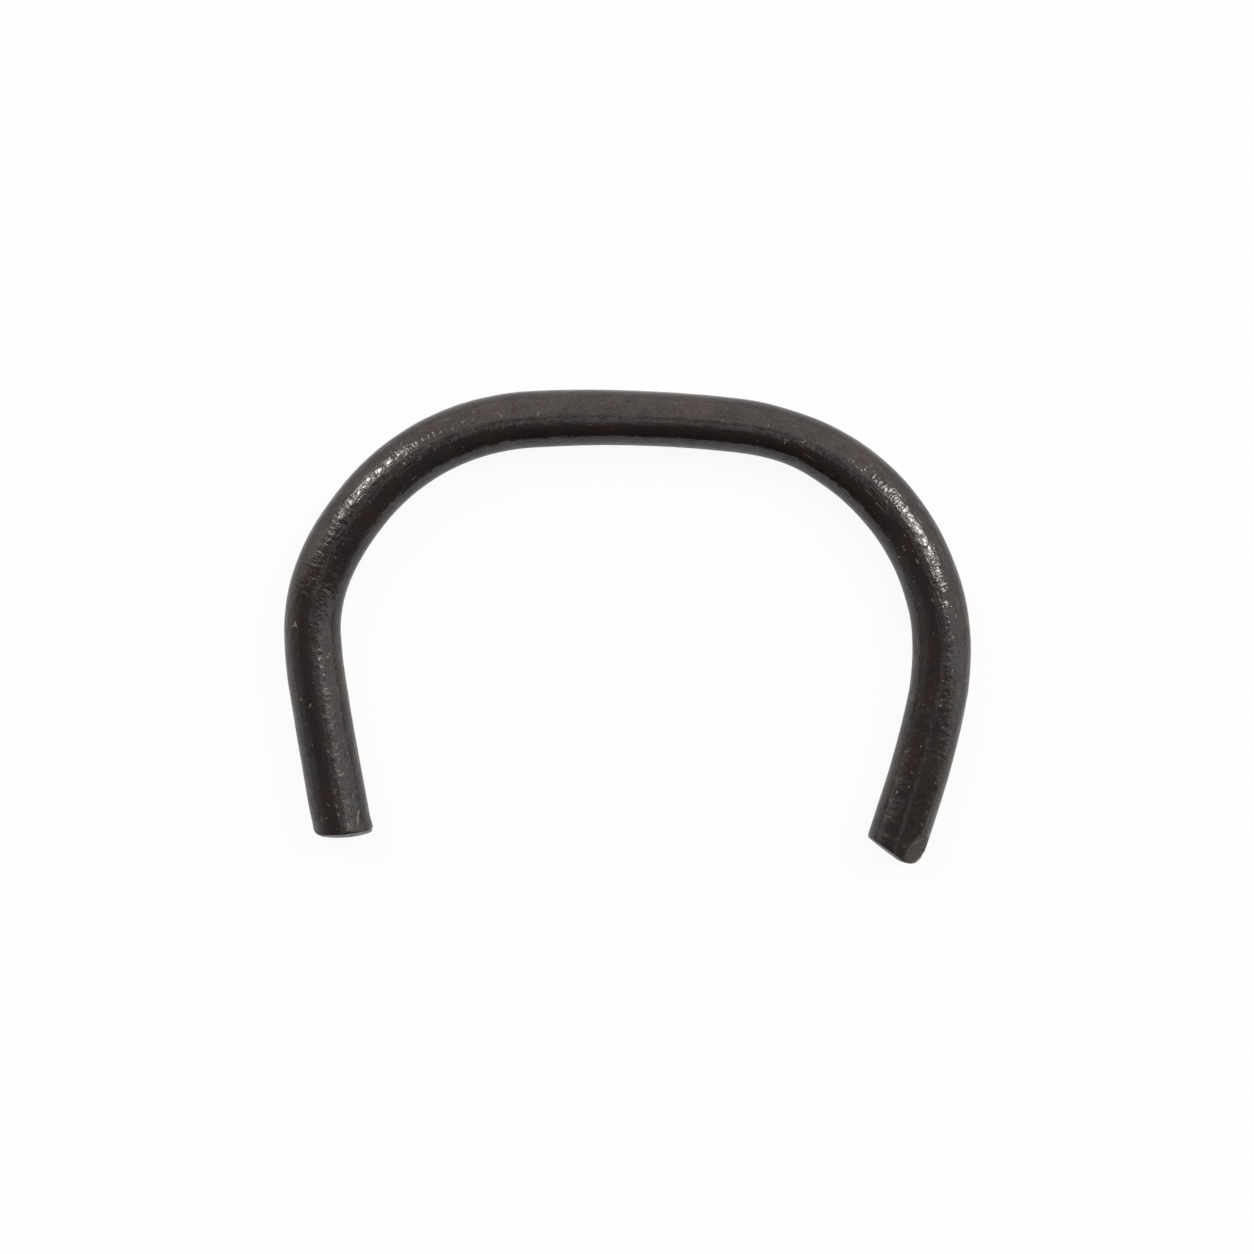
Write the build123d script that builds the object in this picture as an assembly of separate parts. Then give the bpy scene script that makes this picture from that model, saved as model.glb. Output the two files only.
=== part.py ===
from build123d import *

import math
import os

# Axle circlip: an open snap ring bent from one length of round spring wire. It snaps into the
# groove near the end of a splined axle shaft. The crown and both legs bear on the groove's floor,
# and the shoulders stand out past the shaft, behind the hub.
#
# All sizes are in millimetres. The shaft's axis is the Z axis, and the wire's middle plane is
# Z = 0. The crown points to +Y, and the mouth between the tips of the legs opens to -Y.
# The wire is followed from the middle of the crown down each side, as a schedule of bends that
# ends in a straight leg. Bend radii are those of the wire's centreline.

# The wire, and the floor of the groove that the clip bears on
wire_diameter = 2.0
groove_floor_diameter = 19.0

# The crown is one shallow arch, and both shoulders are bent round the same tool
crown_radius = 43.0
crown_sweep = 10.0
shoulder_radius = 8.1

# Left side: the shoulder, a flatter flank, a tight heel, then the long leg
left_shoulder_sweep = 46.5
left_flank_radius = 11.0
left_flank_sweep = 9.5
left_heel_radius = 6.5
left_heel_sweep = 40.5
left_leg_length = 6.02

# Right side: the shoulder carries on round, eases off, then the short leg
right_shoulder_sweep = 94.5
right_easing_radius = 29.0
right_easing_sweep = 6.5
right_leg_length = 2.5

# The cut that sheared each tip: how far it is from square across the leg (above 0 where the
# ring's outer side is left the longer), how far it leans back from upright, and the radius
# pressed on its outer corner, as seen from above
left_cut_skew = -5.0
left_cut_rake = 6.0
left_corner_radius = 0.45
right_cut_skew = 18.0
right_cut_rake = 3.0
right_corner_radius = 0.6

# The worn rim round both cuts
rim_radius = 0.08

# The flat bruised on the right tip's upper outer corner: how far it faces up, how far it faces
# round from the leg's direction to the outer side, and its distance from the middle of the tip
bruise_tilt = 35.0
bruise_bearing = 62.0
bruise_distance = 0.72

# The stock left beyond each tip for the shear, and how far the blocks that take it off stand
# clear of the wire's sides
shear_stock = 2.0
block_clearance = 0.02

wire_radius = wire_diameter / 2
crown_height = groove_floor_diameter / 2 + wire_radius
block_size = 2 * shear_stock + wire_diameter


def bent_side(bends, leg_length, turn):
    """One side's centreline from the middle of the crown, and the location of its tip.

    Each bend is its radius and its sweep in degrees. turn is 1 for the left side and -1 for the
    right. The tip's X runs out of the wire's end, and its Z is the shaft's.
    """
    line = []
    end, heading = Vector(0, crown_height), Vector(-turn, 0)
    for radius, sweep_angle in bends:
        bend = JernArc(end, heading, radius, turn * sweep_angle)
        line.append(bend)
        end, heading = bend @ 1, bend % 1
    line.append(Line(end, end + heading * (leg_length + shear_stock)))
    tip = Location(Plane(end + heading * leg_length, x_dir=heading, z_dir=(0, 0, 1)))
    return line, tip


def sheared(wire, tip, outer, skew, rake, corner_radius):
    """The wire with its end cut off at a tip, the outer corner rounded and the rim worn.

    outer is 1 where the tip's +Y is the ring's outer side, and -1 where it is the inner.
    """
    side = outer * (wire_radius + block_clearance)
    cut_at_side = abs(side) * math.tan(math.radians(skew))
    outer_corner = Vector(cut_at_side, side)
    inner_corner = Vector(-cut_at_side, -side)
    kept = make_face(Polyline((-block_size / 2, side), outer_corner, inner_corner,
                              (-block_size / 2, -side), close=True))
    kept = fillet(kept.vertices().sort_by_distance(outer_corner)[0], corner_radius)
    cut_off = Rectangle(block_size, 2 * abs(side)) - kept
    wire -= tip * Rot(Y=-rake) * extrude(cut_off, block_size / 2, both=True)
    cut_face = wire.faces().sort_by_distance(tip.position)[0]
    return fillet(cut_face.edges(), rim_radius)


def bruised(wire, tip):
    """The wire with the flat on the upper outer corner of the right tip."""
    flat = tip * Rot(Z=bruise_bearing) * Rot(Y=-bruise_tilt) * Pos(X=bruise_distance)
    pressed_off = Box(wire_radius, wire_diameter, wire_diameter,
                      align=(Align.MIN, Align.CENTER, Align.CENTER))
    return wire - flat * pressed_off


def circlip():
    """The whole clip, one length of wire."""
    left_bends = [
        (crown_radius, crown_sweep / 2),
        (shoulder_radius, left_shoulder_sweep),
        (left_flank_radius, left_flank_sweep),
        (left_heel_radius, left_heel_sweep),
    ]
    right_bends = [
        (crown_radius, crown_sweep / 2),
        (shoulder_radius, right_shoulder_sweep),
        (right_easing_radius, right_easing_sweep),
    ]
    left_line, left_tip = bent_side(left_bends, left_leg_length, 1)
    right_line, right_tip = bent_side(right_bends, right_leg_length, -1)
    path = Wire(left_line + right_line)
    wire = sweep(Plane(path @ 0, z_dir=path % 0) * Circle(wire_radius), path)
    wire = sheared(wire, left_tip, -1, left_cut_skew, left_cut_rake, left_corner_radius)
    wire = sheared(wire, right_tip, 1, right_cut_skew, right_cut_rake, right_corner_radius)
    return bruised(wire, right_tip)


os.makedirs("parts", exist_ok=True)
export_step(circlip(), "parts/circlip.step")
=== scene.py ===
"""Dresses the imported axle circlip: a snap ring bent from round spring wire, on a pale floor.

The clip is made as it is in the workshop. A straight blank of wire gets its worn rims and sheared
tips, the tools' marks are pressed into it, and it is then formed along its bend line. Lengths are
in metres. Along the blank, X runs from the left tip to the right one, Y is the ring's outer side
and Z is up.
"""

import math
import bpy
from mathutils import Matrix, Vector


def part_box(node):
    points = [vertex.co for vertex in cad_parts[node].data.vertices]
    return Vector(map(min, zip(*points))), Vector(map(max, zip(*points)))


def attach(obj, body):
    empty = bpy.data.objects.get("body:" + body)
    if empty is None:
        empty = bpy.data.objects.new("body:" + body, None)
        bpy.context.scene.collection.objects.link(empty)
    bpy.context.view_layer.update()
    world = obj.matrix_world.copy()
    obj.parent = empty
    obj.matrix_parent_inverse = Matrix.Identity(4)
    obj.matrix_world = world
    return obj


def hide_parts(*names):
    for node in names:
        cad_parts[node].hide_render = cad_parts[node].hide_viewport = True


bl_info = {
    "name": "Axle Circlip",
    "version": (1, 0, 0),
    "blender": (4, 5, 0),
    "location": "View3D > Sidebar > Circlip",
    "description": "Bends an axle circlip from round spring wire and lights it on a pale floor",
    "category": "Add Mesh",
}

import bpy
import numpy as np
from bpy.props import FloatProperty, FloatVectorProperty, IntProperty, PointerProperty
from mathutils import Matrix, Vector

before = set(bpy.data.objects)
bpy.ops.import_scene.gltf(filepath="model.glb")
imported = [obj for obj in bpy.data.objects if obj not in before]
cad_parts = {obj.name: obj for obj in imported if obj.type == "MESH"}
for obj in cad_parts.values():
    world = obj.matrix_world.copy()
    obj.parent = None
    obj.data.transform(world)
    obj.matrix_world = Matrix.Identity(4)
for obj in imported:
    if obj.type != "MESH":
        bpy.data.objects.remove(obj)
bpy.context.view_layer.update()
CLIP_LOW, CLIP_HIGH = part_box("circlip")
MM = 0.001
COOL_WALL = (1.0, 0.985, 0.99)
WARM_WALL = (1.05, 0.965, 0.92)
LAMP_TINT = (1.0, 0.965, 0.925)
LAMP_DISTANCE = 0.6


# ---------------------------------------------------------------------------------------------
# Sizes and finishes that a user would change
# ---------------------------------------------------------------------------------------------

class WireSizes(bpy.types.PropertyGroup):
    """The wire, its bends and its sheared tips."""

    diameter: FloatProperty(
        name="Wire diameter", description="Diameter of the round wire, as packed",
        default=CLIP_HIGH.z - CLIP_LOW.z, unit="LENGTH")
    crown_radius: FloatProperty(
        name="Crown radius", description="Radius of the shallow arch across the top",
        default=43.0 * MM, unit="LENGTH")
    crown_sweep: FloatProperty(
        name="Crown sweep", description="Angle of the whole crown",
        default=math.radians(10.0), subtype="ANGLE")
    shoulder_radius: FloatProperty(
        name="Shoulder radius", description="Radius of the bends on both sides of the crown",
        default=8.1 * MM, unit="LENGTH")
    left_shoulder_sweep: FloatProperty(
        name="Left shoulder sweep", description="Angle of the left shoulder",
        default=math.radians(46.5), subtype="ANGLE")
    right_shoulder_sweep: FloatProperty(
        name="Right shoulder sweep", description="Angle of the right shoulder",
        default=math.radians(94.5), subtype="ANGLE")
    left_flank_radius: FloatProperty(
        name="Left flank radius", description="Radius of the flatter bend under the left shoulder",
        default=11.0 * MM, unit="LENGTH")
    left_flank_sweep: FloatProperty(
        name="Left flank sweep", description="Angle of the left flank",
        default=math.radians(9.5), subtype="ANGLE")
    left_heel_radius: FloatProperty(
        name="Left heel radius", description="Radius of the tight bend above the left leg",
        default=6.5 * MM, unit="LENGTH")
    left_heel_sweep: FloatProperty(
        name="Left heel sweep", description="Angle of the left heel",
        default=math.radians(40.5), subtype="ANGLE")
    right_easing_radius: FloatProperty(
        name="Right easing radius", description="Radius of the slow bend above the right leg",
        default=29.0 * MM, unit="LENGTH")
    right_easing_sweep: FloatProperty(
        name="Right easing sweep", description="Angle of the right easing",
        default=math.radians(6.5), subtype="ANGLE")
    left_leg_length: FloatProperty(
        name="Left leg length", description="Straight length of the left leg along its axis",
        default=6.02 * MM, unit="LENGTH")
    right_leg_length: FloatProperty(
        name="Right leg length", description="Straight length of the right leg along its axis",
        default=2.5 * MM, unit="LENGTH")
    left_cut_skew: FloatProperty(
        name="Left cut skew", description="How far the left cut is from square, seen from above",
        default=math.radians(-5.4), subtype="ANGLE")
    right_cut_skew: FloatProperty(
        name="Right cut skew", description="How far the right cut is from square, seen from above",
        default=math.radians(18.8), subtype="ANGLE")
    left_cut_rake: FloatProperty(
        name="Left cut rake", description="How far the left cut leans back from upright",
        default=math.radians(6.0), subtype="ANGLE")
    right_cut_rake: FloatProperty(
        name="Right cut rake", description="How far the right cut leans back from upright",
        default=math.radians(2.7), subtype="ANGLE")
    left_corner_radius: FloatProperty(
        name="Left corner radius", description="Radius of the left tip's outer corner",
        default=0.27 * MM, unit="LENGTH")
    right_corner_radius: FloatProperty(
        name="Right corner radius", description="Radius of the right tip's outer corner",
        default=0.77 * MM, unit="LENGTH")
    left_cut_bow: FloatProperty(
        name="Left cut bow", description="How far the left cut bows back over one wire radius",
        default=0.11 * MM, unit="LENGTH")
    left_inner_corner: FloatProperty(
        name="Left inner corner", description="Radius of the left tip's inner corner",
        default=0.11 * MM, unit="LENGTH")
    left_cut_reach: FloatProperty(
        name="Left cut reach", description="How far the left cut stands past the packed leg",
        default=0.095 * MM, unit="LENGTH")
    right_cut_reach: FloatProperty(
        name="Right cut reach", description="How far the right cut stands past the packed leg",
        default=0.03 * MM, unit="LENGTH")
    rim_radius: FloatProperty(
        name="Rim radius", description="Worn radius round both cuts",
        default=0.05 * MM, unit="LENGTH")
    bruise_tilt: FloatProperty(
        name="Bruise tilt", description="How far the flat on the right tip's outer corner faces up",
        default=math.radians(38.5), subtype="ANGLE")
    bruise_distance: FloatProperty(
        name="Bruise distance", description="Distance of the bruise from the wire's middle line",
        default=0.88 * MM, unit="LENGTH")
    bruise_reach: FloatProperty(
        name="Bruise reach", description="Half the length of the bruise along the wire",
        default=0.62 * MM, unit="LENGTH")
    bruise_edge: FloatProperty(
        name="Bruise edge", description="How soft the edge of the bruise is",
        default=0.05 * MM, unit="LENGTH")
    sides: IntProperty(
        name="Sides", description="Facets round the wire", default=96, min=24)
    ring_spacing: FloatProperty(
        name="Ring spacing", description="Distance between the mesh rings along the wire",
        default=0.055 * MM, unit="LENGTH")


class SteelFinish(bpy.types.PropertyGroup):
    """The dark oxide on the wire, where it is worn, dusty or sheared off, and its painted glints
    and sparkle.
    """

    brown_color: FloatVectorProperty(
        name="Brown oxide", description="Warm oxide over most of the wire", subtype="COLOR",
        size=3, min=0.0, max=1.0, default=(0.0170, 0.0108, 0.0104))
    black_color: FloatVectorProperty(
        name="Black oxide", description="Colder, blacker patches of the oxide", subtype="COLOR",
        size=3, min=0.0, max=1.0, default=(0.0118, 0.0094, 0.0102))
    haze_color: FloatVectorProperty(
        name="Dry haze", description="Olive grey haze, mostly down the right side",
        subtype="COLOR", size=3, min=0.0, max=1.0, default=(0.0225, 0.0195, 0.0150))
    cut_color: FloatVectorProperty(
        name="Sheared steel", description="Dull steel on both cuts", subtype="COLOR",
        size=3, min=0.0, max=1.0, default=(0.160, 0.145, 0.142))
    rust_color: FloatVectorProperty(
        name="Rust tint", description="Dark reddish tint in patches of the oxide",
        subtype="COLOR", size=3, min=0.0, max=1.0, default=(0.0250, 0.0105, 0.0085))
    # Darker colour of the short dark marks and of the torn patches on the cuts.
    crease_color: FloatVectorProperty(
        name="Creases", description="Dark dirt in the creases", subtype="COLOR",
        size=3, min=0.0, max=1.0, default=(0.0060, 0.0040, 0.0035))
    # This pale colour also paints glints and edge highlights, through the nick table's marks.
    dust_and_glint_color: FloatVectorProperty(
        name="Nicks and grit", description="Bright nicks, scratches and stuck grit",
        subtype="COLOR", size=3, min=0.0, max=1.0, default=(0.175, 0.163, 0.138))
    # Pale burnished steel, partly real and partly painted glints on the shoulders' highlight
    # streaks.
    burnished_and_glint_color: FloatVectorProperty(
        name="Burnished steel", description="Steel that shows where the bending tools rubbed",
        subtype="COLOR", size=3, min=0.0, max=1.0, default=(0.31, 0.298, 0.278))
    roughness: FloatProperty(
        name="Roughness", description="Roughness of the oiled oxide", default=0.14)


class StageSettings(bpy.types.PropertyGroup):
    """The pale floor, the lamps and the camera."""

    frame_width: FloatProperty(
        name="View width", description="Width of the view at the wire's middle plane",
        default=44.47 * MM, unit="LENGTH")
    view_roll: FloatProperty(
        name="View roll", description="Turn of the camera about its line of sight",
        default=math.radians(1.756), subtype="ANGLE")
    view_center: FloatVectorProperty(
        name="View centre", description="Point of the wire's middle plane in mid view",
        size=2, default=(-0.049 * MM, 3.084 * MM), unit="LENGTH")
    lens: FloatProperty(
        name="Lens", description="Focal length of the camera, in millimetres", default=100.0)
    floor_size: FloatProperty(
        name="Floor size", description="Side of the square floor", default=2.0, unit="LENGTH")
    floor_color: FloatVectorProperty(
        name="Floor", description="Colour of the pale floor", subtype="COLOR",
        size=3, min=0.0, max=1.0, default=(0.78, 0.79, 0.80))


# ---------------------------------------------------------------------------------------------
# Shader maths
# ---------------------------------------------------------------------------------------------

class Value:
    """An output socket on which shader maths is written as a Python expression."""

    def __init__(self, graph, socket):
        self.graph = graph
        self.socket = socket

    def maths(self, operation, *values):
        node = self.graph.nodes.new("ShaderNodeMath")
        node.operation = operation
        for slot, value in zip(node.inputs, values):
            self.graph.feed(slot, value)
        return Value(self.graph, node.outputs[0])

    def __add__(self, other):
        return self.maths("ADD", self, other)

    def __radd__(self, other):
        return self.maths("ADD", other, self)

    def __sub__(self, other):
        return self.maths("SUBTRACT", self, other)

    def __rsub__(self, other):
        return self.maths("SUBTRACT", other, self)

    def __mul__(self, other):
        return self.maths("MULTIPLY", self, other)

    def __rmul__(self, other):
        return self.maths("MULTIPLY", other, self)

    def __abs__(self):
        return self.maths("ABSOLUTE", self)

    def larger(self, other):
        return self.maths("MAXIMUM", self, other)

    def smaller(self, other):
        return self.maths("MINIMUM", self, other)

    def rise(self, low, high):
        """0 below low and 1 above high, with a smooth step between them. high may be the lower."""
        return self.graph.add(
            "ShaderNodeMapRange", {"interpolation_type": "SMOOTHSTEP"},
            {"Value": self, "From Min": low, "From Max": high})


class Graph:
    """The node tree of a material or of the world, emptied."""

    def __init__(self, owner):
        owner.use_nodes = True
        self.nodes = owner.node_tree.nodes
        self.links = owner.node_tree.links
        self.nodes.clear()

    def feed(self, slot, value):
        if isinstance(value, Value):
            self.links.new(value.socket, slot)
        else:
            slot.default_value = value

    def add(self, kind, settings=None, inputs=None, output=0):
        """Adds a node, sets its settings, then its inputs by name, and gives one of its outputs."""
        node = self.nodes.new(kind)
        for name, value in (settings or {}).items():
            setattr(node, name, value)
        for name, value in (inputs or {}).items():
            self.feed(node.inputs[name], value)
        return Value(self, node.outputs[output])

    def attribute(self, name, output):
        return self.add("ShaderNodeAttribute", {"attribute_name": name}, output=output)

    def ray(self, kind):
        """1 for rays of a kind, such as Is Camera Ray, and 0 for the others."""
        return self.add("ShaderNodeLightPath", output=kind)

    def scaled(self, vector, scale, offset=(0.0, 0.0, 0.0)):
        return self.add("ShaderNodeMapping", None,
                        {"Vector": vector, "Scale": scale, "Location": offset})

    def noise(self, vector, scale, detail, roughness):
        return self.add(
            "ShaderNodeTexNoise", {"noise_dimensions": "3D"},
            {"Vector": vector, "Scale": scale, "Detail": detail, "Roughness": roughness})

    def bump(self, height):
        """A normal raised by a height in millimetres."""
        return self.add("ShaderNodeBump", None,
                        {"Strength": 1.0, "Distance": 1.0 * MM, "Height": height})

    def blend(self, factor, first, second):
        """A colour between first and second, through a Mix node's sockets for colours."""
        node = self.nodes.new("ShaderNodeMix")
        node.data_type = "RGBA"
        self.feed(node.inputs[0], factor)
        self.feed(node.inputs[6], first)
        self.feed(node.inputs[7], second)
        return Value(self, node.outputs[2])

    def dot(self, first, second):
        """The dot product of two vectors."""
        node = self.nodes.new("ShaderNodeVectorMath")
        node.operation = "DOT_PRODUCT"
        self.feed(node.inputs[0], first)
        self.feed(node.inputs[1], second)
        return Value(self, node.outputs["Value"])

    def turned(self, vector, degrees):
        """A vector turned about Z."""
        return self.add("ShaderNodeVectorRotate", {"rotation_type": "Z_AXIS"},
                        {"Vector": vector, "Angle": math.radians(degrees)})

    def mixed(self, factor, first, second):
        """A shader between first and second."""
        node = self.nodes.new("ShaderNodeMixShader")
        self.feed(node.inputs[0], factor)
        self.feed(node.inputs[1], first)
        self.feed(node.inputs[2], second)
        return Value(self, node.outputs[0])

    def finish(self, kind, shader):
        """Ends the tree in an output node of that kind, which takes the shader."""
        output = self.nodes.new(kind)
        self.links.new(shader.socket, output.inputs["Surface"])


def opaque(color):
    """A colour property as a node colour."""
    return (*color, 1.0)


# ---------------------------------------------------------------------------------------------
# The wire
# ---------------------------------------------------------------------------------------------

def left_bends(sizes):
    """The left side's bends from the middle of the crown, each a radius and a sweep."""
    return [(sizes.crown_radius, sizes.crown_sweep / 2),
            (sizes.shoulder_radius, sizes.left_shoulder_sweep),
            (sizes.left_flank_radius, sizes.left_flank_sweep),
            (sizes.left_heel_radius, sizes.left_heel_sweep)]


def right_bends(sizes):
    """The right side's bends from the middle of the crown, each a radius and a sweep."""
    return [(sizes.crown_radius, sizes.crown_sweep / 2),
            (sizes.shoulder_radius, sizes.right_shoulder_sweep),
            (sizes.right_easing_radius, sizes.right_easing_sweep)]


def bent_length(bends):
    return sum(radius * sweep for radius, sweep in bends)


def deselect_all():
    bpy.ops.object.select_all(action="DESELECT")


def edit(obj, mode):
    """Takes obj alone into edit mode, with nothing in it selected."""
    deselect_all()
    bpy.context.view_layer.objects.active = obj
    obj.select_set(True)
    bpy.ops.object.mode_set(mode="EDIT")
    bpy.ops.mesh.select_mode(type=mode)
    bpy.ops.mesh.select_all(action="DESELECT")


def select(obj, kind, test):
    """Selects the mesh's faces or edges that pass a test, and goes back to edit mode."""
    bpy.ops.mesh.select_all(action="DESELECT")
    bpy.ops.object.mode_set(mode="OBJECT")
    for element in getattr(obj.data, kind):
        element.select = test(element)
    bpy.ops.object.mode_set(mode="EDIT")


# The rings on each end, from the rim inwards, each as a step in wire radii
END_STEPS = (0.03, 0.05, 0.07, 0.08, 0.09, 0.09, 0.09, 0.09, 0.09, 0.09, 0.08)


def runs_along(blank, shortest):
    """A test for the edges that run further than shortest along the blank."""
    def test(edge):
        start, end = (blank.data.vertices[i].co for i in edge.vertices)
        return abs(end.x - start.x) > shortest
    return test


def straight_blank(sizes, length):
    """The straight wire: a cylinder with worn rims, ringed along its length and on its ends."""
    radius = sizes.diameter / 2
    deselect_all()
    bpy.ops.mesh.primitive_cylinder_add(
        vertices=sizes.sides, radius=radius, depth=length, end_fill_type="NGON",
        location=(length / 2, 0, 0), rotation=(0, math.pi / 2, 0))
    blank = bpy.context.object
    blank.name = "circlip_wire"
    bpy.ops.object.transform_apply(location=True, rotation=True, scale=True)
    whole_length = runs_along(blank, length / 2)

    def on_rim(edge):
        return not whole_length(edge)

    def end_face(face):
        return len(face.vertices) == sizes.sides

    edit(blank, "EDGE")
    select(blank, "edges", on_rim)
    bpy.ops.mesh.bevel(offset=sizes.rim_radius, segments=4, affect="EDGES")
    bpy.ops.mesh.select_mode(type="FACE")
    select(blank, "polygons", end_face)
    for step in END_STEPS:
        bpy.ops.mesh.inset(thickness=step * radius, depth=0)
    bpy.ops.mesh.poke()
    bpy.ops.mesh.select_mode(type="EDGE")
    # The rings are cut in two rounds, because one round makes 100 cuts at most
    rings = round(length / sizes.ring_spacing)
    parts = round(math.sqrt(rings))
    select(blank, "edges", whole_length)
    bpy.ops.mesh.subdivide(number_cuts=parts - 1)
    select(blank, "edges", runs_along(blank, length / parts / 2))
    bpy.ops.mesh.subdivide(number_cuts=round(rings / parts) - 1)
    bpy.ops.object.mode_set(mode="OBJECT")
    return blank


def read_points(mesh):
    points = np.empty(len(mesh.vertices) * 3)
    mesh.vertices.foreach_get("co", points)
    return points.reshape(-1, 3)


def write_points(mesh, points):
    mesh.vertices.foreach_set("co", points.ravel())
    mesh.update()


def store(mesh, name, kind, values):
    """Keeps values, one for each point, as an attribute that the material reads."""
    attribute = mesh.attributes.new(name, kind, "POINT")
    field = "vector" if kind == "FLOAT_VECTOR" else "value"
    attribute.data.foreach_set(field, np.asarray(values, np.float32).ravel())


def smooth_step(x):
    x = np.clip(x, 0.0, 1.0)
    return x * x * (3.0 - 2.0 * x)


def rounded_back(offset, radius, corner):
    """How far a corner of that radius falls back, at offsets across a wire of that radius."""
    past = np.clip((offset - (radius - corner)) / corner, 0.0, 1.0)
    return corner * (1.0 - np.sqrt(1.0 - past * past))


# Where the bending tools gripped the wire, hardest beside the crown and at the left heel. Each is a
# station from the crown's middle, its reach, and how much narrower the wire is, below 0 where it is
# wider, in millimetres.
GRIPS = (
    (2.1, 4.6, 0.115), (5.6, 1.5, 0.105), (-4.0, 2.5, 0.01), (-14.6, 1.7, 0.04),
    (-21.6, 1.3, -0.03), (-22.8, 0.3, -0.04), (9.6, 1.2, -0.025),
)
# Where the wire strays from its bend line. Each is a station, its reach, and how far the wire
# strays to the ring's outer side, in millimetres.
STRAYS = (
    (-19.3, 1.6, 0.022), (-16.1, 0.7, -0.038), (-14.0, 0.7, 0.012), (-5.0, 1.2, -0.014),
    (6.3, 0.8, 0.012), (14.1, 0.9, 0.014), (16.0, 0.7, -0.012), (21.0, 1.5, 0.012),
    (-22.7, 0.35, -0.032),
)


def wire_width(station):
    """The wire's width across the ring, in millimetres, at a station in millimetres."""
    width = 2.045 + 0.065 * smooth_step((station - 8.0) / 16.0)
    for place, reach, squeeze in GRIPS:
        width = width - squeeze * np.exp(-((station - place) / reach) ** 2)
    return width


def wire_wander(station):
    """How far the wire strays to the ring's outer side, in millimetres, at a station."""
    wander = np.zeros_like(station)
    for place, reach, shift in STRAYS:
        wander += shift * np.exp(-((station - place) / reach) ** 2)
    return wander


def gripped(points, sizes, crown):
    """The blank squeezed and nudged across the ring, as the bending tools left it."""
    station = (points[:, 0] - crown) / MM
    points[:, 1] *= wire_width(station) / (sizes.diameter / MM)
    points[:, 1] += wire_wander(station) * MM
    return points


def sheared(points, sizes, length):
    """Both flat ends pushed back to the skewed, leaning cuts with their rounded corners."""
    radius = sizes.diameter / 2
    x, out, up = points.T.copy()
    for end, sign, skew, rake, corner, inner_corner, bow, longer in (
            (0.0, -1.0, sizes.left_cut_skew, sizes.left_cut_rake, sizes.left_corner_radius,
             sizes.left_inner_corner, sizes.left_cut_bow, sizes.left_cut_reach),
            (length, 1.0, sizes.right_cut_skew, sizes.right_cut_rake, sizes.right_corner_radius,
             sizes.rim_radius, 0.0, sizes.right_cut_reach)):
        reach = math.tan(skew) * out - math.tan(rake) * up - bow * (out / radius) ** 2 + longer
        reach -= rounded_back(out, radius * 1.02, corner)
        reach -= rounded_back(-out, radius * 1.02, inner_corner)
        near = smooth_step(1.0 - np.abs(x - end) / (1.6 * radius))
        points[:, 0] += sign * near * reach
    return points


# The bruise's middle is this many wire radii from the right end, and the steel gave way by this
# share of what was pressed on it
BRUISE_SETBACK = 0.28
BRUISE_GIVE = 0.9


def bruised(points, sizes, length):
    """The right tip's upper outer corner pressed in, and how deep each point was pressed."""
    radius = sizes.diameter / 2
    facing = np.array([0.0, math.cos(sizes.bruise_tilt), math.sin(sizes.bruise_tilt)])
    place = (points[:, 0] - (length - BRUISE_SETBACK * radius)) / sizes.bruise_reach
    level = sizes.bruise_distance + (radius - sizes.bruise_distance) * place ** 2
    above = points @ facing - level
    depth = (above + np.sqrt(above ** 2 + sizes.bruise_edge ** 2)) / 2
    return points - depth[:, None] * facing * BRUISE_GIVE, depth


def bend_line(sizes, crown_height):
    """The guide curve through the middle of the wire, from the left tip to the right."""
    def arc_points(bends, leg, turn):
        """One side's knots from the crown's middle, each a place, a heading and a handle."""
        knots = []
        place, heading = Vector((0, crown_height, 0)), Vector((-turn, 0, 0))
        pieces = []
        for bend_radius, sweep in bends:
            parts = max(1, math.ceil(sweep / math.radians(30)))
            pieces += [(bend_radius, sweep / parts)] * parts
        for bend_radius, sweep in pieces:
            handle = 4 / 3 * math.tan(sweep / 4) * bend_radius
            centre = place + bend_radius * turn * Vector((-heading.y, heading.x, 0))
            turned = Matrix.Rotation(turn * sweep, 3, "Z")
            after = centre + turned @ (place - centre)
            knots.append((place, heading, handle))
            place, heading = after, turned @ heading
            knots.append((place, heading, handle))
        knots.append((place, heading, leg / 3))
        knots.append((place + heading * leg, heading, leg / 3))
        return knots

    left = arc_points(left_bends(sizes), sizes.left_leg_length, 1)
    right = arc_points(right_bends(sizes), sizes.right_leg_length, -1)
    bpy.ops.curve.primitive_bezier_curve_add(location=(0, 0, 0))
    guide = bpy.context.object
    curve = guide.data
    curve.dimensions = "3D"
    curve.twist_mode = "Z_UP"
    curve.resolution_u = 128
    curve.use_deform_bounds = False
    curve.splines.clear()
    spline = curve.splines.new("BEZIER")
    # Each segment is a pair (place, heading, handle) at its start and its end
    segments = [((b[0], -b[1], b[2]), (a[0], -a[1], a[2]))
                for a, b in zip(left[0::2], left[1::2])][::-1]
    segments += [(a, b) for a, b in zip(right[0::2], right[1::2])]
    spline.bezier_points.add(len(segments))
    for point in spline.bezier_points:
        point.handle_left_type = point.handle_right_type = "FREE"
    for i, (start, end) in enumerate(segments):
        here, there = spline.bezier_points[i], spline.bezier_points[i + 1]
        here.co, there.co = start[0], end[0]
        here.handle_right = start[0] + start[1] * start[2]
        there.handle_left = end[0] - end[1] * end[2]
    ends = spline.bezier_points
    ends[0].handle_left = 2 * ends[0].co - ends[0].handle_right
    ends[-1].handle_right = 2 * ends[-1].co - ends[-1].handle_left
    return guide


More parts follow.
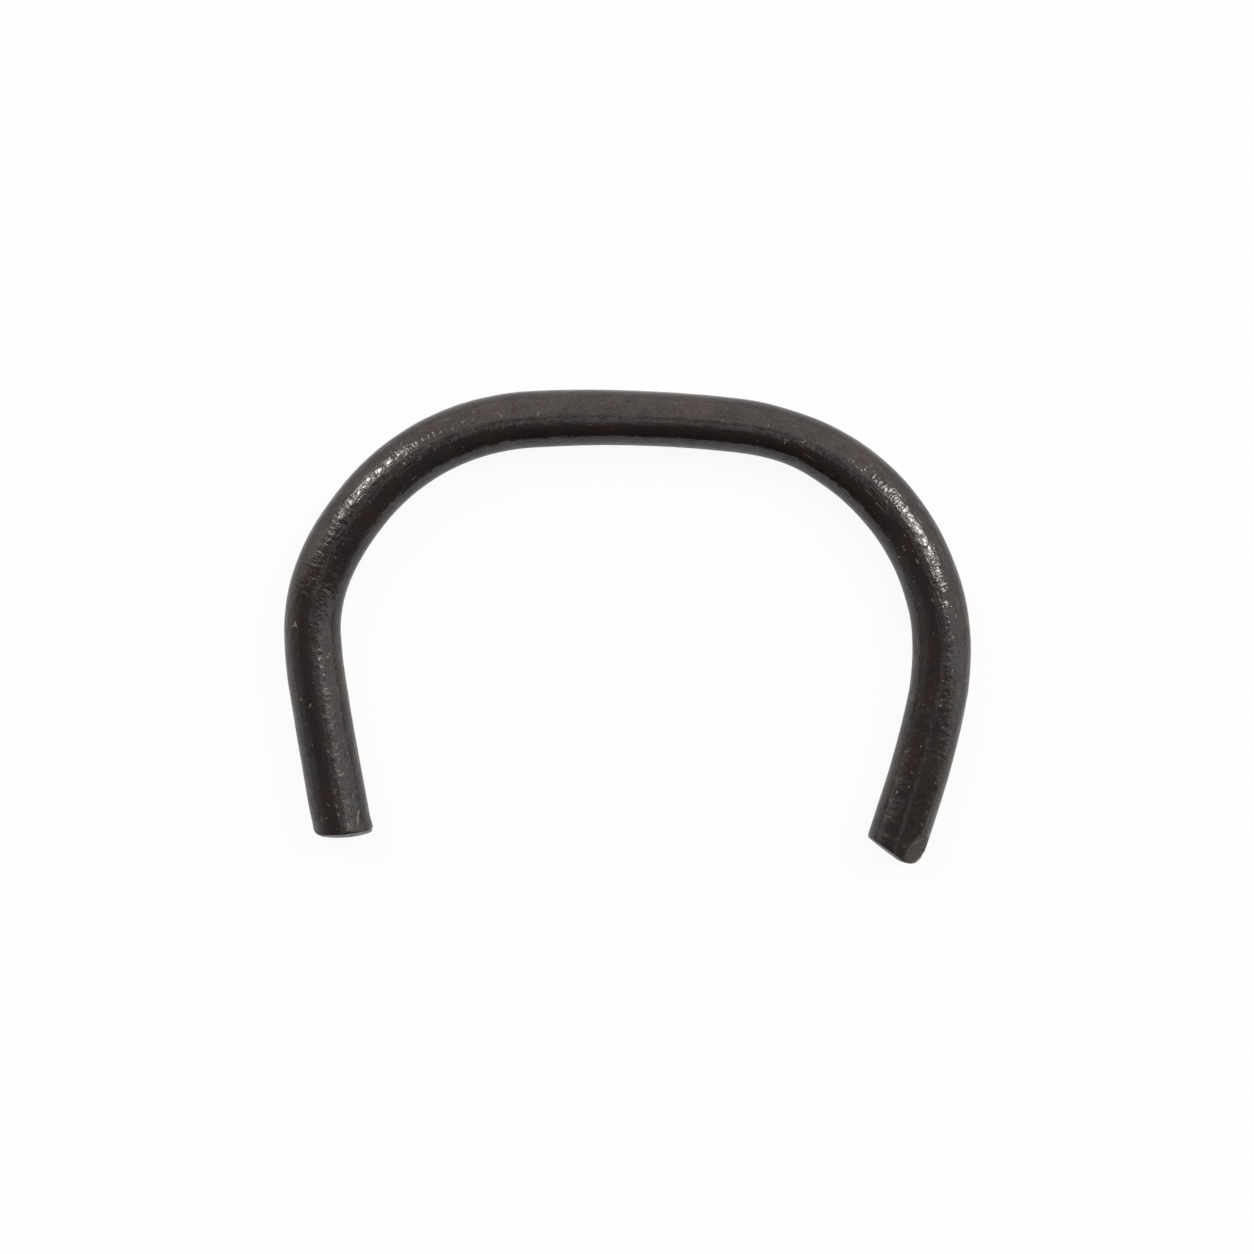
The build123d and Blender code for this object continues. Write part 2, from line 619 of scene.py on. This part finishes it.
def formed(blank, guide):
    """Bends the straight blank along the guide, and removes the guide."""
    bend = blank.modifiers.new("Bend", "CURVE")
    bend.object = guide
    bend.deform_axis = "POS_X"
    deselect_all()
    blank.select_set(True)
    bpy.context.view_layer.objects.active = blank
    bpy.ops.object.modifier_apply(modifier=bend.name)
    curve = guide.data
    bpy.data.objects.remove(guide)
    bpy.data.curves.remove(curve)


def lumps(blank, name, size, strength):
    """Presses a shallow random relief of one size into the blank."""
    texture = bpy.data.textures.new(name, "CLOUDS")
    texture.noise_scale = size
    texture.noise_depth = 1
    relief = blank.modifiers.new(name, "DISPLACE")
    relief.texture = texture
    relief.texture_coords = "LOCAL"
    relief.strength = strength
    relief.mid_level = 0.5
    deselect_all()
    blank.select_set(True)
    bpy.context.view_layer.objects.active = blank
    bpy.ops.object.modifier_apply(modifier=relief.name)
    bpy.data.textures.remove(texture)


# Marks placed one by one. Each is its station from the crown's middle in millimetres, its offset to
# the outer side in wire radii, its half length and half width in millimetres, its turn from the
# wire's direction in degrees, and how strongly it shows. These are bright nick marks and stuck
# grit, with painted glints and painted edge highlights along the wire's rims among them.
NICKS_AND_GLINTS = (
    (-22.30, -0.62, 0.19, 0.022, -16, 0.8), (-22.09, -0.69, 0.11, 0.024, -35, 0.9),
    (-21.90, -0.42, 0.035, 0.030, 0, 0.5), (-21.68, -0.40, 0.030, 0.028, 0, 0.5),
    (-21.50, -0.61, 0.10, 0.028, 5, 0.3), (-22.57, -0.23, 0.11, 0.020, -44, 0.5),
    (-22.03, -0.04, 0.055, 0.045, 0, 0.35), (-21.73, -0.02, 0.050, 0.040, 0, 0.30),
    (-21.25, -0.04, 0.028, 0.026, 0, 0.5), (-21.65, 0.26, 0.07, 0.020, 35, 0.4),
    (-22.12, 0.39, 0.022, 0.07, 0, 0.35), (-22.15, 0.58, 0.09, 0.026, 10, 0.35),
    (-19.45, 0.44, 0.030, 0.028, 0, 0.5), (-19.78, -0.07, 0.06, 0.020, 40, 0.4),
    (-20.65, -0.39, 0.025, 0.07, 15, 0.4), (-20.10, -0.40, 0.022, 0.06, -10, 0.35),
    (-19.57, -0.45, 0.022, 0.06, 20, 0.35), (-20.40, -0.61, 0.07, 0.024, 10, 0.25),
    (-19.95, -0.70, 0.06, 0.024, 0, 0.25), (-20.00, -0.95, 0.50, 0.060, 0, 0.22),
    (-21.90, -0.96, 0.30, 0.060, 0, 0.25), (-17.82, 0.58, 0.045, 0.036, 25, 0.8),
    (-18.09, 0.29, 0.09, 0.022, -25, 0.9), (-17.00, 0.79, 0.032, 0.030, 0, 0.5),
    (-18.55, -0.14, 0.040, 0.030, 0, 0.35), (-17.30, 0.06, 0.030, 0.026, 0, 0.3),
    (-15.45, 0.05, 0.030, 0.026, 0, 0.3), (-18.80, 0.82, 0.05, 0.028, 10, 0.3),
    (-15.28, 0.52, 0.10, 0.032, 20, 0.9), (-15.33, 0.61, 0.026, 0.09, 10, 0.6),
    (-16.47, -0.29, 0.028, 0.026, 0, 0.7), (-16.48, -0.54, 0.034, 0.032, 0, 1.0),
    (-16.36, -0.59, 0.07, 0.020, 35, 0.7), (-17.93, -0.39, 0.022, 0.05, 10, 0.4),
    (-18.25, -0.35, 0.022, 0.05, -15, 0.35), (-17.70, -0.73, 0.10, 0.026, 0, 0.3),
    (-17.45, -0.95, 0.12, 0.040, 0, 0.3), (-14.25, 0.26, 0.028, 0.026, 0, 0.4),
    (-12.68, -0.27, 0.030, 0.028, 0, 0.8), (-12.10, -0.27, 0.040, 0.024, 0, 0.25),
    (-11.90, 0.03, 0.035, 0.024, 0, 0.25), (-14.05, -0.49, 0.24, 0.014, 43, 0.25),
    (-11.60, 0.44, 0.04, 0.035, 0, 0.4), (-8.47, -0.03, 0.038, 0.034, 0, 1.0),
    (-8.17, 0.60, 0.08, 0.022, 50, 0.5), (-8.58, -0.63, 0.035, 0.024, 0, 0.6),
    (-8.45, -0.62, 0.040, 0.022, 10, 0.6), (-9.30, -0.72, 0.04, 0.024, 0, 0.3),
    (-10.90, -0.19, 0.035, 0.024, 0, 0.3), (-10.30, -0.17, 0.030, 0.024, 0, 0.3),
    (-8.60, -0.23, 0.34, 0.012, 2, 0.3), (-6.42, 0.20, 0.032, 0.030, 0, 0.8),
    (-6.83, 0.27, 0.07, 0.024, 35, 0.6), (-6.00, 0.31, 0.08, 0.030, 10, 0.45),
    (-5.57, 0.52, 0.07, 0.020, 0, 0.45), (-6.48, 0.60, 0.13, 0.020, 0, 0.35),
    (-5.65, 0.29, 0.028, 0.026, 0, 0.4), (-5.45, 0.13, 0.028, 0.026, 0, 0.4),
    (-4.70, 0.21, 0.10, 0.022, -57, 0.5), (-3.40, 0.11, 0.10, 0.022, 56, 0.5),
    (-6.30, -0.51, 0.05, 0.024, 0, 0.25), (-6.75, -0.35, 0.04, 0.024, 0, 0.25),
    (-4.55, -0.66, 0.04, 0.024, 0, 0.25), (-1.55, -0.32, 0.028, 0.026, 0, 0.3),
    (-1.85, -0.46, 0.028, 0.026, 0, 0.3), (-0.83, -0.46, 0.028, 0.026, 0, 0.25),
    (0.23, -0.74, 0.032, 0.026, 0, 0.3), (3.08, 0.06, 0.07, 0.030, 15, 0.35),
    (4.70, 0.13, 0.032, 0.028, 0, 0.45), (4.55, 0.05, 0.030, 0.026, 0, 0.4),
    (5.60, 0.42, 0.030, 0.028, 0, 0.4), (5.42, -0.32, 0.034, 0.032, 0, 1.0),
    (5.45, -0.22, 0.09, 0.035, 10, 0.4), (6.02, -0.07, 0.036, 0.032, 0, 1.0),
    (6.08, -0.01, 0.045, 0.022, 50, 0.8), (6.25, -0.10, 0.035, 0.026, 0, 0.5),
    (6.45, -0.10, 0.035, 0.026, 0, 0.5), (6.48, -0.46, 0.28, 0.012, -6, 0.35),
    (4.43, -0.51, 0.04, 0.026, 0, 0.25), (4.95, -0.71, 0.04, 0.026, 0, 0.25),
    (7.85, 0.24, 0.06, 0.024, 0, 0.4), (8.43, 0.48, 0.07, 0.022, 0, 0.5),
    (9.25, 0.47, 0.15, 0.020, 0, 0.45), (9.60, 0.48, 0.10, 0.020, 2, 1.0),
    (9.84, 0.48, 0.09, 0.020, -3, 0.9), (9.25, 0.21, 0.05, 0.024, 30, 0.4),
    (9.70, -0.01, 0.06, 0.035, 0, 0.5), (9.50, -0.32, 0.055, 0.034, 0, 0.5),
    (9.75, -0.30, 0.30, 0.013, 2, 0.4), (9.05, -0.27, 0.26, 0.012, 0, 0.3),
    (7.55, -0.58, 0.05, 0.026, 0, 0.3), (10.88, -0.73, 0.034, 0.032, 0, 0.6),
    (10.45, 0.82, 0.07, 0.034, 0, 0.4), (11.40, 0.06, 0.09, 0.055, 0, 0.55),
    (11.38, -0.44, 0.032, 0.030, 0, 0.7), (11.50, -0.46, 0.032, 0.030, 0, 0.7),
    (11.65, -0.73, 0.050, 0.030, 25, 1.0), (12.10, -0.25, 0.09, 0.022, 5, 1.0),
    (12.05, 0.69, 0.07, 0.022, 0, 0.5), (11.05, -0.22, 0.05, 0.026, 0, 0.35),
    (11.70, -0.22, 0.05, 0.026, 0, 0.35), (12.75, -0.61, 0.04, 0.026, 0, 0.3),
    (14.80, -0.35, 0.04, 0.026, 0, 0.35), (13.60, -0.20, 0.07, 0.020, 0, 0.45),
    (13.62, -0.67, 0.035, 0.028, 0, 0.45), (13.77, 0.08, 0.035, 0.028, 0, 0.4),
    (14.30, 0.49, 0.06, 0.026, 0, 0.7), (14.98, 0.32, 0.038, 0.032, 0, 0.9),
    (16.12, 0.32, 0.036, 0.032, 0, 0.9), (16.50, 0.02, 0.030, 0.028, 0, 0.5),
    (15.97, 0.64, 0.032, 0.028, 0, 0.5), (16.87, 0.62, 0.032, 0.028, 0, 0.5),
    (16.38, 0.86, 0.32, 0.016, -65, 0.4), (17.17, 0.08, 0.045, 0.030, 0, 0.5),
    (17.35, 0.42, 0.032, 0.028, 0, 0.45), (17.47, -0.48, 0.032, 0.028, 0, 0.5),
    (18.93, -0.25, 0.032, 0.028, 0, 0.7), (17.30, -0.88, 0.15, 0.045, 0, 0.3),
    (18.02, 0.88, 0.12, 0.045, 0, 0.3), (20.03, 0.57, 0.036, 0.030, 0, 0.6),
    (19.00, 0.62, 0.034, 0.028, 0, 0.5), (21.10, 0.57, 0.034, 0.028, 0, 0.5),
    (21.55, 0.55, 0.034, 0.028, 0, 0.5), (22.43, 0.19, 0.04, 0.026, 40, 0.5),
    (19.92, -0.31, 0.032, 0.028, 0, 0.5), (20.43, -0.27, 0.032, 0.028, 0, 0.5),
    (20.24, -0.58, 0.032, 0.028, 0, 0.5), (21.66, -0.54, 0.034, 0.028, 0, 0.5),
    (20.73, -0.59, 0.045, 0.034, 20, 1.0), (20.60, -0.73, 0.04, 0.026, 0, 0.5),
    (21.10, -0.70, 0.04, 0.026, 0, 0.5), (22.44, -0.49, 0.020, 0.10, 10, 0.4),
    (19.25, -0.65, 0.025, 0.08, 20, 0.45), (22.17, 0.57, 0.13, 0.022, -55, 0.6),
    (22.02, 0.83, 0.42, 0.018, -68, 0.35), (22.36, 0.46, 0.17, 0.016, -28, 0.3),
    (21.85, 0.90, 0.07, 0.040, -40, 0.8),
)
# Clumps that the bending tools polished on the shoulders, where the highlight streaks fall; their
# pale burnished colour is partly painted glints
POLISHED_AND_GLINTS = (
    (-11.35, 0.34, 0.08, 0.04, 0, 0.8), (-11.10, 0.36, 0.09, 0.04, 0, 0.8),
    (-10.70, 0.34, 0.10, 0.05, 0, 0.9), (-10.37, 0.31, 0.15, 0.05, 2, 1.0),
    (-10.03, 0.31, 0.09, 0.05, 0, 1.0), (-9.80, 0.38, 0.12, 0.05, 0, 1.0),
    (-9.60, 0.29, 0.06, 0.04, 0, 0.9), (-9.33, 0.35, 0.14, 0.075, 0, 1.0),
    (-8.86, 0.34, 0.13, 0.05, 0, 1.0), (-8.52, 0.34, 0.09, 0.05, 0, 0.9),
    (-8.35, 0.32, 0.030, 0.09, 0, 0.8), (-8.10, 0.32, 0.030, 0.09, 0, 0.8),
    (-7.88, 0.32, 0.030, 0.09, 0, 0.7), (-7.75, 0.32, 0.028, 0.08, 0, 0.7),
    (-7.50, 0.32, 0.028, 0.08, 0, 0.6), (-7.28, 0.32, 0.028, 0.08, 0, 0.6),
    (-7.10, 0.31, 0.030, 0.08, 0, 0.6), (9.40, 0.24, 0.09, 0.05, 0, 0.6),
    (9.95, 0.26, 0.05, 0.05, 0, 0.7), (10.42, 0.29, 0.19, 0.06, 4, 0.9),
    (10.78, 0.27, 0.10, 0.06, 0, 0.6), (11.05, 0.30, 0.08, 0.06, 0, 0.9),
    (11.24, 0.32, 0.09, 0.07, 0, 1.0), (11.50, 0.31, 0.13, 0.07, 0, 1.0),
    (11.66, 0.25, 0.06, 0.05, 0, 0.9), (11.87, 0.31, 0.13, 0.05, -3, 1.0),
    (12.19, 0.31, 0.09, 0.05, 0, 1.0), (12.33, 0.24, 0.05, 0.05, 0, 0.9),
    (12.60, 0.29, 0.11, 0.055, 0, 1.0), (13.02, 0.28, 0.10, 0.05, 0, 0.9),
    (13.35, 0.27, 0.07, 0.04, 0, 0.6), (13.75, 0.26, 0.06, 0.04, 0, 0.5),
    (12.70, 0.09, 0.13, 0.025, 0, 0.8), (12.10, 0.10, 0.20, 0.020, 0, 0.5),
    (10.60, 0.09, 0.22, 0.020, 0, 0.5),
)
# Short dark marks: darker in colour, rougher, and pressed in a little
CREASES = (
    (-21.90, -0.54, 0.15, 0.040, -32, 0.9), (5.64, -0.87, 0.20, 0.045, 50, 1.0),
    (-9.12, 0.40, 0.07, 0.060, 0, 0.8), (-1.15, 0.00, 0.05, 0.025, 20, 0.6),
    (-0.98, 0.24, 0.05, 0.025, 0, 0.5), (0.42, 0.24, 0.05, 0.025, 0, 0.5),
    (11.37, 0.26, 0.06, 0.020, 0, 0.8), (-12.90, 0.68, 0.22, 0.035, 0, 0.5),
    (17.30, 0.08, 0.08, 0.040, 0, 0.5), (-13.80, -0.12, 0.14, 0.060, 0, 0.5),
)


def placed(g, place, crown, marks):
    """A table's marks as one mask over the wire's skin."""
    mask = None
    for station, offset, half_length, half_width, turn, strength in marks:
        middle = Vector((crown + station, math.asin(offset)))
        turn = math.radians(turn)
        lengthwise = Vector((math.cos(turn), math.sin(turn))) / half_length
        crosswise = Vector((-math.sin(turn), math.cos(turn))) / half_width
        along = g.dot(place, (*lengthwise, -lengthwise.dot(middle)))
        across = g.dot(place, (*crosswise, -crosswise.dot(middle)))
        mark = g.add("ShaderNodeMapRange", {"interpolation_type": "SMOOTHSTEP"},
                     {"Value": along * along + across * across, "From Min": 1.8, "From Max": 0.25,
                      "To Min": 0.0, "To Max": strength})
        mask = mark if mask is None else mask.larger(mark)
    return mask


def skin(g, wire):
    """Places along the wire, out across it, and the skin's roughened point (along, round, 1)."""
    parts = g.nodes.new("ShaderNodeSeparateXYZ")
    g.feed(parts.inputs[0], wire)
    along, out, up = (Value(g, socket) for socket in parts.outputs)
    around = out.maths("ARCTAN2", out, up)
    ragged = g.noise(wire, 22.0, 1.0, 0.5) * 0.05 - 0.025
    place = g.add("ShaderNodeCombineXYZ", None,
                  {"X": along + ragged, "Y": around + ragged, "Z": 1.0})
    return along, out, place


def fine_relief(g, wire, station, polished_and_glints):
    """Drawn lines, grain, bending ripples, slanting scuffs and shallow dents, in millimetres."""
    grain = g.noise(wire, 6.0, 1.0, 0.5)
    fine = g.noise(wire, 17.0, 1.0, 0.5)
    drawn = g.noise(g.scaled(wire, (0.22, 1.0, 1.0)), 9.0, 1.5, 0.5)
    ripples = g.noise(g.scaled(wire, (1.0, 0.3, 0.3)), 7.5, 2.0, 0.6)
    beside = abs(station)
    shoulders = beside.rise(6.0, 9.0) * beside.rise(16.0, 13.0)
    slanting = g.noise(g.scaled(g.turned(wire, -57.0), (0.2, 1.0, 0.4)), 9.0, 1.0, 0.5)
    scuffed = abs(station + 17.6).rise(2.4, 0.8)
    dents = g.noise(wire, 1.7, 1.0, 0.5)
    rough = (grain * 0.011 + fine * 0.0035 + drawn * 0.014 + ripples * (shoulders * 0.011 + 0.002)
             + slanting * scuffed * 0.010)
    worn = ((beside.rise(4.0, 9.0) * 0.4 + 0.6) * (station.rise(20.0, 16.0) * 0.5 + 0.5)
            * (station.rise(-17.5, -15.5) * 0.25 + 0.75))
    return rough * worn * (1.0 - polished_and_glints * 0.3) + dents * 0.014


def grit(g, wire):
    """Specks of stuck grit, in some of the cells of a fine pattern."""
    specks = g.add("ShaderNodeTexVoronoi", {"feature": "F1"},
                   {"Vector": g.scaled(wire, (0.7, 1.0, 1.0)), "Scale": 3.6})
    chosen = g.add("ShaderNodeTexWhiteNoise", {"noise_dimensions": "3D"},
                   {"Vector": Value(g, specks.socket.node.outputs["Position"])})
    return specks.rise(0.12, 0.05) * chosen.rise(0.72, 1.0) * 0.45


def dry_oxide(g, finish, wire, out, patches):
    """The oxide's brown and black patches, with a rust tint mostly on the inner side."""
    rust = g.noise(g.scaled(wire, (0.6, 1.0, 1.0), (3.0, 7.0, 5.0)), 1.4, 4.0, 0.65)
    rusted = rust.rise(0.52, 0.68) * (out.rise(0.2, -0.2) * 0.3 + 0.05)
    color = g.blend(patches.rise(0.38, 0.62), opaque(finish.brown_color),
                    opaque(finish.black_color))
    return g.blend(rusted, color, opaque(finish.rust_color))


def lit_side_sparkle(g, wire, station, out):
    """Fine pale grains painted only on the sides that face the lamps, the crown's outer side and
    the left leg's inner side: painted sparkle.
    """
    on_crown = out.rise(-0.2, 0.2) * abs(station).rise(10.0, 7.0)
    on_left_leg = out.rise(0.0, -0.2) * station.rise(-15.0, -17.0)
    return g.noise(wire, 13.0, 2.0, 0.7).rise(0.48, 0.72) * on_crown.larger(on_left_leg)


def torn_steel(g, finish, wire):
    """The bare, torn steel of both cuts."""
    tearing = g.noise(g.scaled(wire, (1.0, 1.0, 0.2)), 6.0, 3.0, 0.65)
    color = g.blend(tearing.rise(0.6, 0.35) * 0.5, opaque(finish.cut_color),
                    opaque(finish.crease_color))
    return g.add("ShaderNodeBsdfPrincipled", None, {
        "Base Color": color, "Roughness": 0.45, "Normal": g.bump(tearing * 0.05),
        "IOR": 1.5, "Specular IOR Level": 0.4})


def oiled_oxide(finish, crown, length):
    """Dark oxide with an oil film, drawn lines, grain, haze, grit, nick marks, burnished clumps,
    and painted glints, edge highlights and sparkle.
    """
    material = bpy.data.materials.new("Oiled oxide steel")
    g = Graph(material)
    wire = g.attribute("wire", "Vector")
    along, out, place = skin(g, wire)
    station = along - crown
    from_end = along.smaller(length - along)
    cut = from_end.rise(0.03, 0.005)
    bruise = g.attribute("pressed", "Fac").rise(0.006, 0.03)
    # Bright nick marks, with painted glints and painted edge highlights among them
    nicks_and_glints = placed(g, place, crown, NICKS_AND_GLINTS)
    polished_and_glints = placed(g, place, crown, POLISHED_AND_GLINTS)
    creases = placed(g, place, crown, CREASES)
    relief = g.bump(fine_relief(g, wire, station, polished_and_glints) - creases * 0.012)

    patches = g.noise(wire, 0.8, 3.0, 0.6)
    mottle = g.noise(wire, 4.5, 3.0, 0.65)
    haze = station.rise(9.0, 19.0) * 0.55 + from_end.rise(3.0, 0.5) * 0.2
    hazy = haze * out.rise(-0.3, 0.5) * mottle.rise(0.3, 0.62)
    # Pale burnished colour on the polished clumps: partly burnished steel, partly painted glints
    burnished_and_glints = polished_and_glints * g.noise(wire, 13.0, 1.0, 0.5).rise(0.38, 0.56)
    color = dry_oxide(g, finish, wire, out, patches)
    color = g.blend(hazy, color, opaque(finish.haze_color))
    color = g.blend(bruise * 0.25, color, opaque(finish.haze_color))
    # Painted sparkle: pale grains only on the lamp-lit sides
    color = g.blend(lit_side_sparkle(g, wire, station, out) * 0.055, color, opaque(finish.dust_and_glint_color))
    color = g.blend(burnished_and_glints * 0.7, color, opaque(finish.burnished_and_glint_color))
    # Pale dust colour for the nick marks and grit, and for the painted glints and edge highlights
    # in the same table
    color = g.blend(nicks_and_glints.larger(grit(g, wire)), color, opaque(finish.dust_and_glint_color))
    color = g.blend(creases, color, opaque(finish.crease_color))
    roughness = (finish.roughness + 0.10 * (mottle - 0.5) + 0.06 * (patches - 0.5)
                 - 0.03 * polished_and_glints + 0.34 * bruise.larger(creases)
                 + station.rise(-15.0, -17.0) * 0.045)
    dry, oily = (g.add("ShaderNodeBsdfPrincipled", None, {
        "Base Color": color, "Metallic": burnished_and_glints * 0.7, "Roughness": roughness,
        "Normal": relief, "IOR": 1.5, "Specular IOR Level": shine}) for shine in (0.22, 0.80))
    film = g.noise(wire, 10.0, 2.0, 0.6) * 1.2 + g.noise(wire, 1.9, 2.0, 0.5) * 0.7 - 0.45
    skinned = g.mixed(film, dry, oily)
    g.finish("ShaderNodeOutputMaterial", g.mixed(cut, skinned, torn_steel(g, finish, wire)))
    return material


class CIRCLIP_OT_wire(bpy.types.Operator):
    """Bend the circlip from a straight blank of wire and give it its oxide finish"""

    bl_idname = "circlip.wire"
    bl_label = "Bend the Circlip"

    def execute(self, context):
        sizes = context.scene.circlip_wire
        radius = sizes.diameter / 2
        crown = bent_length(left_bends(sizes)) + sizes.left_leg_length
        length = crown + bent_length(right_bends(sizes)) + sizes.right_leg_length
        blank = straight_blank(sizes, length)
        mesh = blank.data
        points = read_points(mesh)
        store(mesh, "wire", "FLOAT_VECTOR", points / MM)
        points = gripped(points, sizes, crown)
        points = sheared(points, sizes, length)
        points, pressed = bruised(points, sizes, length)
        store(mesh, "pressed", "FLOAT", pressed / MM)
        write_points(mesh, points)
        lumps(blank, "Waves", 1.3 * MM, 0.016 * MM)
        lumps(blank, "Lumps", 0.35 * MM, 0.007 * MM)
        formed(blank, bend_line(sizes, CLIP_HIGH.y - radius))
        bpy.ops.object.shade_smooth_by_angle(angle=math.radians(35))
        mesh.materials.clear()
        mesh.materials.append(oiled_oxide(context.scene.circlip_finish, crown / MM, length / MM))
        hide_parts("circlip")
        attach(blank, "root")
        return {"FINISHED"}


# ---------------------------------------------------------------------------------------------
# The stage
# ---------------------------------------------------------------------------------------------

def pale_floor(settings):
    """A matt pale floor that shows white with a faint shadow."""
    material = bpy.data.materials.new("Pale floor")
    g = Graph(material)
    mirrored = g.ray("Is Glossy Ray").larger(g.ray("Is Transmission Ray"))
    seen = (g.ray("Is Camera Ray") * 0.93).larger(mirrored * 0.35)
    matt = g.add("ShaderNodeBsdfDiffuse", None, {"Color": opaque(settings.floor_color)})
    glow = g.add("ShaderNodeEmission", None, {"Color": (1, 1, 1, 1), "Strength": 1.0})
    g.finish("ShaderNodeOutputMaterial", g.mixed(seen, matt, glow))
    return material


def towards(azimuth, zenith):
    """The direction at an azimuth from +X and an angle from straight overhead, in degrees."""
    azimuth, zenith = math.radians(azimuth), math.radians(zenith)
    return Vector((math.cos(azimuth) * math.sin(zenith), math.sin(azimuth) * math.sin(zenith),
                   math.cos(zenith)))


def strip_box(name, target, away, half_width, half_height, radiance):
    """An upright strip lamp in that direction, its size given as angles seen from the target."""
    light = bpy.data.lights.new(name, "AREA")
    light.color = LAMP_TINT
    light.shape = "RECTANGLE"
    light.size = 2 * LAMP_DISTANCE * math.tan(math.radians(half_width))
    light.size_y = 2 * LAMP_DISTANCE * math.tan(math.radians(half_height))
    light.energy = radiance * math.pi * light.size * light.size_y
    lamp = bpy.data.objects.new(name, light)
    bpy.context.scene.collection.objects.link(lamp)
    lamp.location = target + away * LAMP_DISTANCE
    lamp.rotation_euler = away.to_track_quat("Z", "Y").to_euler()


def studio_room():
    """The room: a bright wall behind the clip, a faint strip overhead and a dim front."""
    world = bpy.data.worlds.new("Studio room")
    g = Graph(world)
    direction = g.add("ShaderNodeTexCoord")
    rightward = g.dot(direction, (1.0, 0.0, 0.0))
    backward = g.dot(direction, (0.0, 1.0, 0.0))
    behind = g.dot(direction, towards(76, 97))
    wall = behind.rise(-0.08, 0.03)
    aside = abs(rightward + 0.01)
    overhead = (backward.rise(-0.62, -0.08) * backward.rise(-0.05, -0.11) * 1.15).larger(
        backward.rise(-0.02, 0.02) * 0.7) * aside.rise(0.11, 0.03)
    beside = g.dot(direction, towards(188, 84)).rise(math.cos(math.radians(38)), 0.995) * 0.36
    front = behind.rise(-1.05, -0.5) * 0.14 + 0.04
    lit = wall.larger(overhead) * 1.16 + front + beside * (1.0 - wall)
    seen = g.ray("Is Camera Ray")
    tint = g.blend(g.dot(direction, towards(100, 90)).rise(-0.2, 0.5), opaque(COOL_WALL),
                   opaque(WARM_WALL))
    tint = g.blend(seen, tint, (1.0, 1.0, 1.0, 1.0))
    background = g.add("ShaderNodeBackground", None,
                       {"Color": tint, "Strength": lit * (1.0 - seen) + seen})
    g.finish("ShaderNodeOutputWorld", background)
    return world


class CIRCLIP_OT_stage(bpy.types.Operator):
    """Lay the pale floor under the clip, hang the lamps and set up the camera above it"""

    bl_idname = "circlip.stage"
    bl_label = "Set the Stage"

    def execute(self, context):
        settings = context.scene.circlip_stage
        scene = context.scene
        deselect_all()
        bpy.ops.mesh.primitive_plane_add(size=settings.floor_size, location=(0, 0, CLIP_LOW.z))
        floor = context.object
        floor.name = "pale_floor"
        floor.data.materials.append(pale_floor(settings))
        target = Vector((settings.view_center[0], settings.view_center[1], 0))
        strip_box("Left strip", target, towards(138.5, 46.6),
                  half_width=4.2, half_height=13.9, radiance=10.3)
        strip_box("Right strip", target, towards(30.5, 38.9),
                  half_width=2.6, half_height=13.2, radiance=26.0)
        scene.world = studio_room()
        camera = bpy.data.cameras.new("Camera")
        camera.lens = settings.lens
        camera.sensor_width = 36.0
        camera.clip_start = 0.001
        camera.clip_end = 10.0
        eye = bpy.data.objects.new("Camera", camera)
        scene.collection.objects.link(eye)
        height = settings.frame_width * settings.lens / camera.sensor_width
        eye.location = target + Vector((0, 0, height))
        eye.rotation_euler = (0, 0, settings.view_roll)
        scene.camera = eye
        scene.view_settings.view_transform = "Standard"
        return {"FINISHED"}


class CIRCLIP_PT_panel(bpy.types.Panel):
    """Lists the steps that make the clip"""

    bl_label = "Axle Circlip"
    bl_idname = "CIRCLIP_PT_panel"
    bl_space_type = "VIEW_3D"
    bl_region_type = "UI"
    bl_category = "Circlip"

    def draw(self, context):
        for operator in (CIRCLIP_OT_wire, CIRCLIP_OT_stage):
            self.layout.operator(operator.bl_idname)


CLASSES = (WireSizes, SteelFinish, StageSettings, CIRCLIP_OT_wire, CIRCLIP_OT_stage,
           CIRCLIP_PT_panel)


def register():
    for cls in CLASSES:
        bpy.utils.register_class(cls)
    bpy.types.Scene.circlip_wire = PointerProperty(type=WireSizes)
    bpy.types.Scene.circlip_finish = PointerProperty(type=SteelFinish)
    bpy.types.Scene.circlip_stage = PointerProperty(type=StageSettings)


def unregister():
    del bpy.types.Scene.circlip_stage
    del bpy.types.Scene.circlip_finish
    del bpy.types.Scene.circlip_wire
    for cls in reversed(CLASSES):
        bpy.utils.unregister_class(cls)


def main():
    register()
    bpy.ops.circlip.stage()
    bpy.ops.circlip.wire()


if __name__ == "__main__":
    main()
